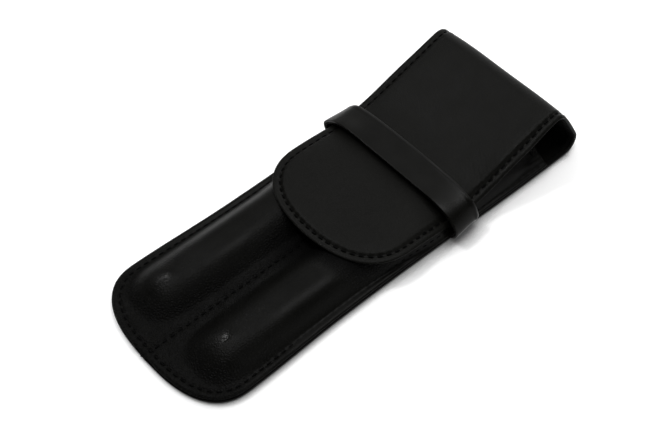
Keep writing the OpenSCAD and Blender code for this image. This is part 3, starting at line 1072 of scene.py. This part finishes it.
def strap_outer(depth):
    """Outer face of a ply of the strap: its section across the case, carried along y.

    The section is a smooth curve through STRAP_SIDE, mirrored, and drawn in by depth
    along its normal. v goes from -1 at the edge towards the tip to 1 at the edge towards
    the fold. Along the normal the band drops by 0.35 |v|^3, rises in a low bead by the
    fold edge, and stands off by 1.0 mm, or 1.7 near its shoulders, times ((1 - v)/2)^2.
    Over the flap it also climbs by 0.6 + 0.8 v mm, as the flap there does.
    """
    side = smooth_path(STRAP_SIDE, 90)
    path = np.concatenate([side[::-1] * [-1, 1], side[1:]])
    run = np.gradient(path, axis=0)
    out = np.stack([-run[:, 1], run[:, 0]], -1)
    out /= np.linalg.norm(out, axis=1, keepdims=True)
    across, height = path[:, :1], path[:, 1:]
    v = np.linspace(-1, 1, 31)[None]
    bead = (0.12 + 0.22 * ease((across - 6.0) / 12.0)) * bell((v - 0.84) / 0.12)
    stand = (1.0 + 0.7 * bell((np.abs(across) - 23.0) / 9.0)) * ((1 - v) / 2) ** 2
    lift = -0.35 * np.abs(v) ** 3.0 + bead - depth + stand
    x = across + lift * out[:, :1]
    z = height + lift * out[:, 1:] + ease((height - 5.0) / 5.0) * (0.6 + 0.8 * v)
    y = STRAP_START + STRAP_WIDTH / 2 + (STRAP_WIDTH / 2 - 0.3) * v + 0 * x
    return np.stack([x, y, z], -1)


for tag, depth, lip, finish, slot, node in (
    ("strap_band", 0.0, 0.3, STRAP_FINISH, "black_leather", "strap_leather"),
    ("strap_inner", STRAP_PLY, 0.15, LINING_FINISH, "lining_leather", "strap_lining"),
):
    grid = strap_outer(depth)
    face = normals(grid)
    if face[len(grid) // 2, grid.shape[1] // 2, 2] < 0:
        grid, face = grid[:, ::-1], -face[:, ::-1]
    worn = 0.8 * bell((grid[..., 0] - 28.5) / 3.5)
    piece = new_mesh(
        tag,
        ply(grid, face, STRAP_PLY, lip=lip, start="round", stop="round"),
        ply_quads(grid, round_ends=2),
        finish,
        "pouch",
        node,
        {"worn": spread(worn, start="round", stop="round")},
    )


# ---- studio -----------------------------------------------------------------------


def aim(obj, target):
    """Turns an object so that its -Z axis points at a target."""
    obj.rotation_euler = (Vector(target) - obj.location).to_track_quat("-Z", "Y").to_euler()


def soft_lamp(name, direction, distance, size, power, length=None):
    """A soft lamp, size by length, at a distance from the case in a direction."""
    lamp = bpy.data.lights.new(name, "AREA")
    lamp.shape = "RECTANGLE"
    lamp.size = size
    lamp.size_y = length or size
    lamp.energy = power
    obj = bpy.data.objects.new(name, lamp)
    d = np.array(direction, dtype=float)
    obj.location = tuple(d / np.linalg.norm(d) * distance)
    bpy.context.collection.objects.link(obj)
    aim(obj, (0, 0, 0))


TABLE_HALF = 0.5
TABLE_GLOW, TABLE_GLOW_REFLECTED = 0.20, 0.30
SHADOW_REACH = 0.011
WORLD_LIGHT = 0.10


def table():
    """A white table, a little brighter to the eye and in reflections than as a lamp.

    The eye also sees a soft shadow close to the case on its right, from the share of a
    1.1 cm half ball, leaning left over each point of the table, that the case fills.
    """
    e = TABLE_HALF
    mesh = bpy.data.meshes.new("table")
    mesh.from_pydata([(-e, -e, 0), (e, -e, 0), (e, e, 0), (-e, e, 0)], [], [(0, 1, 2, 3)])
    obj = bpy.data.objects.new("table", mesh)
    bpy.context.collection.objects.link(obj)
    mat = bpy.data.materials.new("table_white")
    mat.use_nodes = True
    nodes, links = mat.node_tree.nodes, mat.node_tree.links
    nodes.clear()
    end = nodes.new("ShaderNodeOutputMaterial")
    path = nodes.new("ShaderNodeLightPath")
    plain = nodes.new("ShaderNodeBsdfDiffuse")
    plain.inputs["Color"].default_value = (0.8, 0.8, 0.8, 1)

    lean = nodes.new("ShaderNodeCombineXYZ")
    for axis, value in zip("XYZ", (-0.80, 0.15, 0.58)):
        lean.inputs[axis].default_value = value
    near = nodes.new("ShaderNodeAmbientOcclusion")
    near.samples = 8
    near.inputs["Distance"].default_value = SHADOW_REACH
    links.new(lean.outputs["Vector"], near.inputs["Normal"])
    shadow = nodes.new("ShaderNodeMapRange")
    shadow.interpolation_type = "SMOOTHSTEP"
    set_range(shadow, 0.18, 0.80, -0.90, 0.0)
    links.new(near.outputs["AO"], shadow.inputs["Value"])
    shaded = nodes.new("ShaderNodeMath")
    shaded.operation = "MULTIPLY_ADD"
    shaded.inputs[2].default_value = 1.0
    links.new(shadow.outputs["Result"], shaded.inputs[0])
    links.new(path.outputs["Is Camera Ray"], shaded.inputs[1])

    bright = nodes.new("ShaderNodeBsdfDiffuse")
    glow = nodes.new("ShaderNodeEmission")
    level = nodes.new("ShaderNodeMapRange")
    set_range(level, to_low=TABLE_GLOW, to_high=TABLE_GLOW_REFLECTED)
    links.new(path.outputs["Is Glossy Ray"], level.inputs["Value"])
    links.new(level.outputs["Result"], glow.inputs["Strength"])
    links.new(shaded.outputs["Value"], bright.inputs["Color"])
    links.new(shaded.outputs["Value"], glow.inputs["Color"])
    seen = nodes.new("ShaderNodeAddShader")
    links.new(bright.outputs["BSDF"], seen.inputs[0])
    links.new(glow.outputs["Emission"], seen.inputs[1])

    direct = nodes.new("ShaderNodeMath")
    direct.operation = "MAXIMUM"
    links.new(path.outputs["Is Camera Ray"], direct.inputs[0])
    links.new(path.outputs["Is Glossy Ray"], direct.inputs[1])
    choice = nodes.new("ShaderNodeMixShader")
    links.new(direct.outputs["Value"], choice.inputs["Fac"])
    links.new(plain.outputs["BSDF"], choice.inputs[1])
    links.new(seen.outputs["Shader"], choice.inputs[2])
    links.new(choice.outputs["Shader"], end.inputs["Surface"])
    obj.data.materials.append(mat)


def surroundings():
    """World: white where the camera looks, softer where it lights the case."""
    world = bpy.data.worlds.new("studio")
    bpy.context.scene.world = world
    world.use_nodes = True
    nodes, links = world.node_tree.nodes, world.node_tree.links
    back = nodes["Background"]
    path = nodes.new("ShaderNodeLightPath")
    level = nodes.new("ShaderNodeMapRange")
    set_range(level, to_low=WORLD_LIGHT)
    links.new(path.outputs["Is Camera Ray"], level.inputs["Value"])
    links.new(level.outputs["Result"], back.inputs["Strength"])
    back.inputs["Color"].default_value = (1, 1, 1, 1)


table()
surroundings()
soft_lamp("back_lamp", (-0.20, 0.62, 0.76), 1.2, 1.5, 5.5)
soft_lamp("top_strip", (0.02, 0.12, 0.99), 1.2, 0.40, 7.0, length=1.1)
soft_lamp("left_lamp", (-0.56, -0.11, 0.82), 0.9, 0.12, 2.3)
soft_lamp("side_card", (0.95, 0.28, 0.10), 0.8, 0.7, 2.2)
soft_lamp("back_card", (-0.40, 0.85, 0.33), 1.1, 0.9, 2.0, length=0.5)
soft_lamp("left_card", (-0.85, 0.35, 0.38), 1.0, 0.6, 0.5)

camera = bpy.data.cameras.new("camera")
camera.lens = 63.18
camera.sensor_width = 36.0
camera.clip_start = 0.01
camera_object = bpy.data.objects.new("camera", camera)
camera_object.location = (0.18055, -0.16965, 0.32709)
bpy.context.collection.objects.link(camera_object)
aim(camera_object, (-0.00088, -0.00866, 0.00764))
bpy.context.scene.camera = camera_object
bpy.context.scene.view_settings.view_transform = "Standard"
